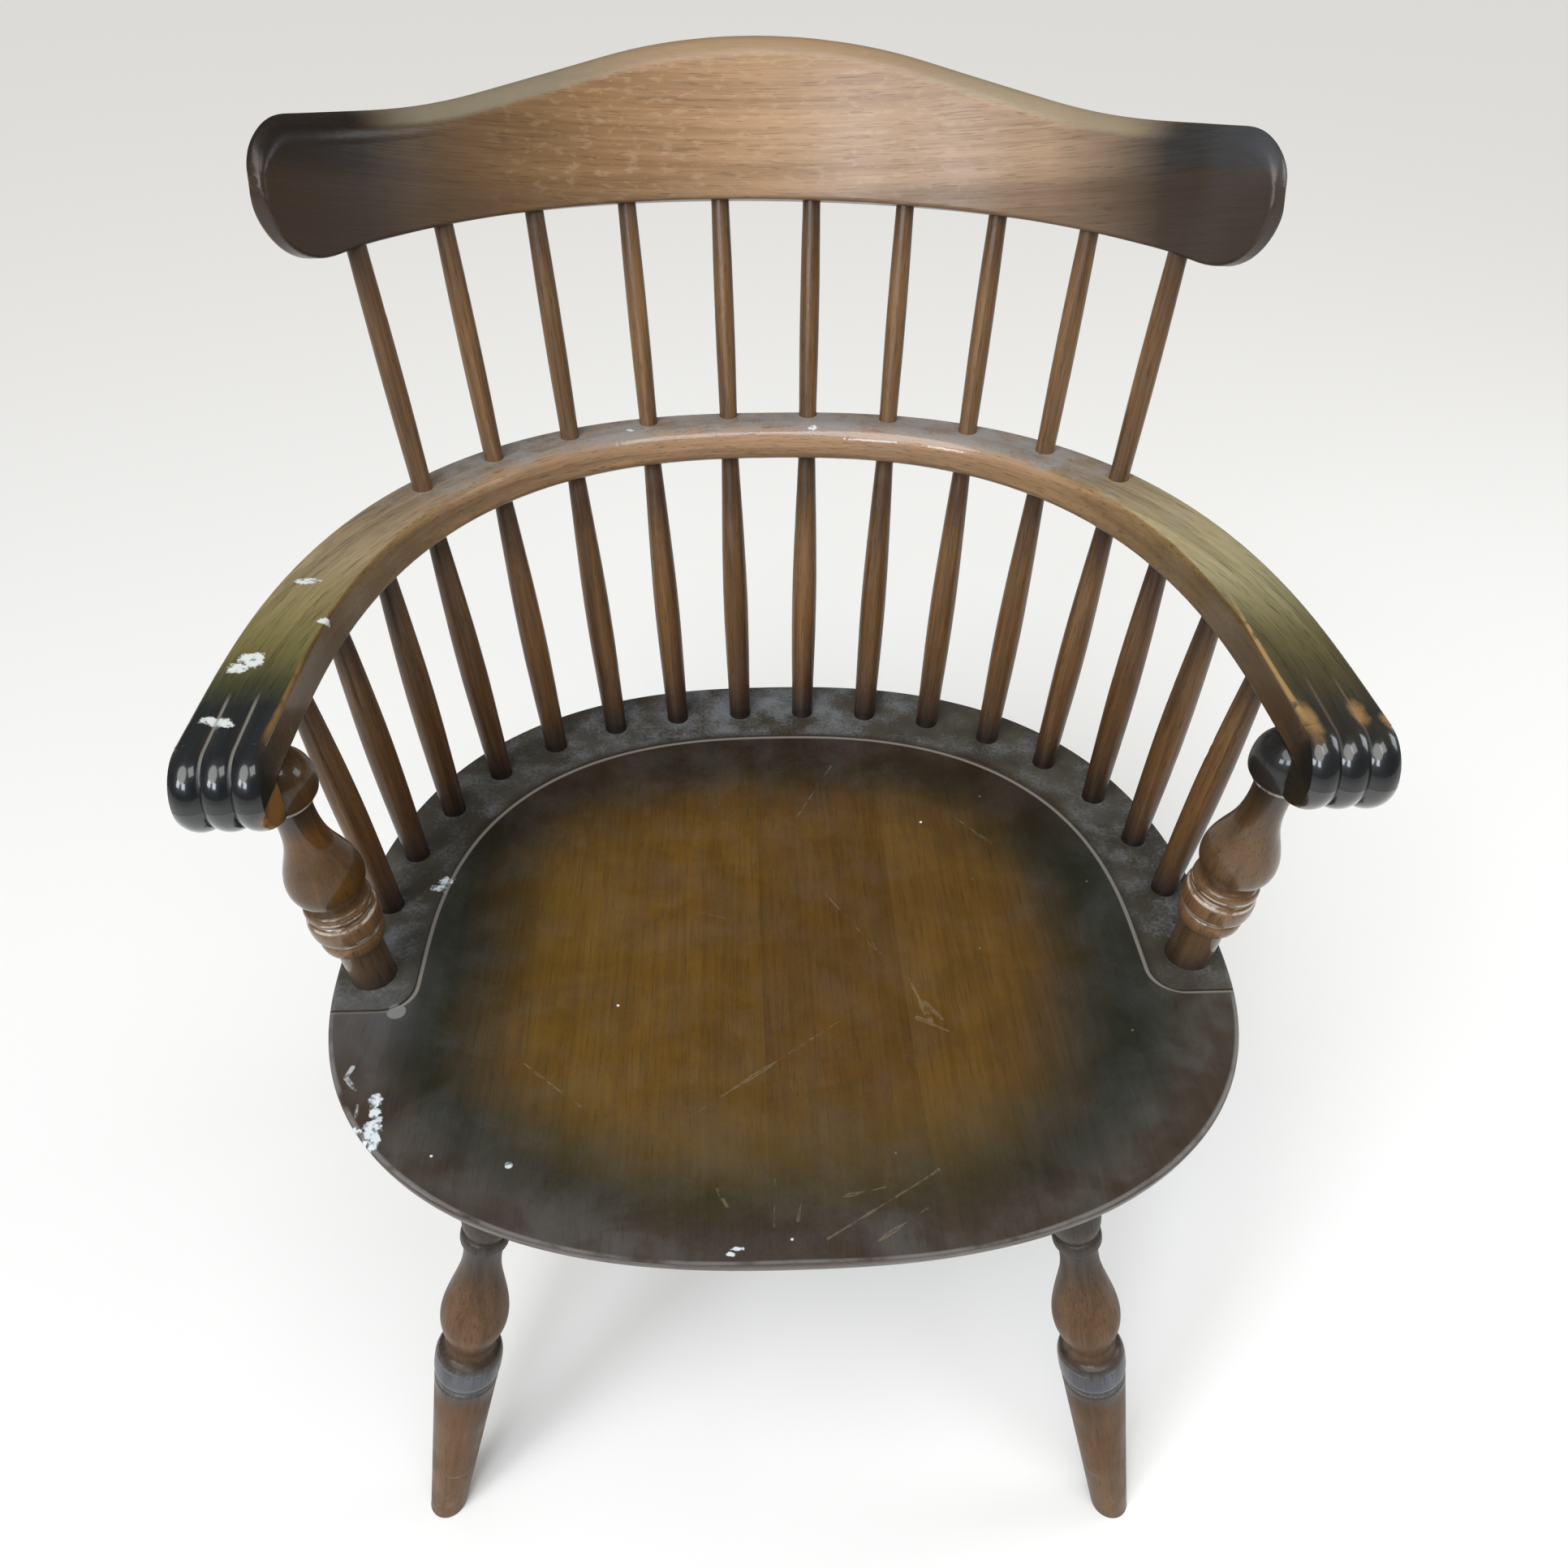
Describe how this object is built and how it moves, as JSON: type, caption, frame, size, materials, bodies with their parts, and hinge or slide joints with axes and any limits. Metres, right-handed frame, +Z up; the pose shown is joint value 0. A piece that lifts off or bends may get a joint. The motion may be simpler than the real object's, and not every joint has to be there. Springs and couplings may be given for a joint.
{
  "type": "captains chair",
  "caption": "Comb-back armchair in turned and bent wood, with a dished seat, spindle back, scrolled arm ends and splayed legs joined by stretchers.",
  "frame": {"origin": "bottom centre of the chair's box, on the floor between the four feet", "axes": "+Z up; the sitter faces -Y; +X is the right of someone who looks at the chair's front"},
  "size_m": [0.604, 0.6296, 0.8946],
  "materials": {
    "seat_wood": "satin",
    "crest_wood": "satin",
    "bow_wood": "satin",
    "spindle_wood": "satin",
    "post_wood": "satin",
    "leg_wood": "satin"
  },
  "bodies": {
    "root": {"back_spindle_left_1": "spindle_wood", "back_spindle_left_2": "spindle_wood", "back_spindle_left_3": "spindle_wood", "back_spindle_left_4": "spindle_wood", "back_spindle_left_5": "spindle_wood", "back_spindle_right_1": "spindle_wood", "back_spindle_right_2": "spindle_wood", "back_spindle_right_3": "spindle_wood", "back_spindle_right_4": "spindle_wood", "back_spindle_right_5": "spindle_wood", "arm_spindle_left_1": "spindle_wood", "arm_spindle_left_2": "spindle_wood", "arm_spindle_left_3": "spindle_wood", "arm_spindle_right_1": "spindle_wood", "arm_spindle_right_2": "spindle_wood", "arm_spindle_right_3": "spindle_wood", "arm_post_left": "post_wood", "arm_post_right": "post_wood", "knuckle_block_left": "bow_wood", "knuckle_block_right": "bow_wood", "side_stretcher_left": "leg_wood", "side_stretcher_right": "leg_wood", "cross_stretcher": "leg_wood", "leg_front_left": "leg_wood", "leg_front_right": "leg_wood", "leg_rear_left": "leg_wood", "leg_rear_right": "leg_wood", "seat_board_1": "seat_wood", "seat_board_2": "seat_wood", "seat_board_3": "seat_wood", "seat_board_4": "seat_wood", "seat_board_5": "seat_wood", "seat_board_6": "seat_wood", "arm_bow": "bow_wood", "crest_rail": "crest_wood"}
  },
  "joints": []
}
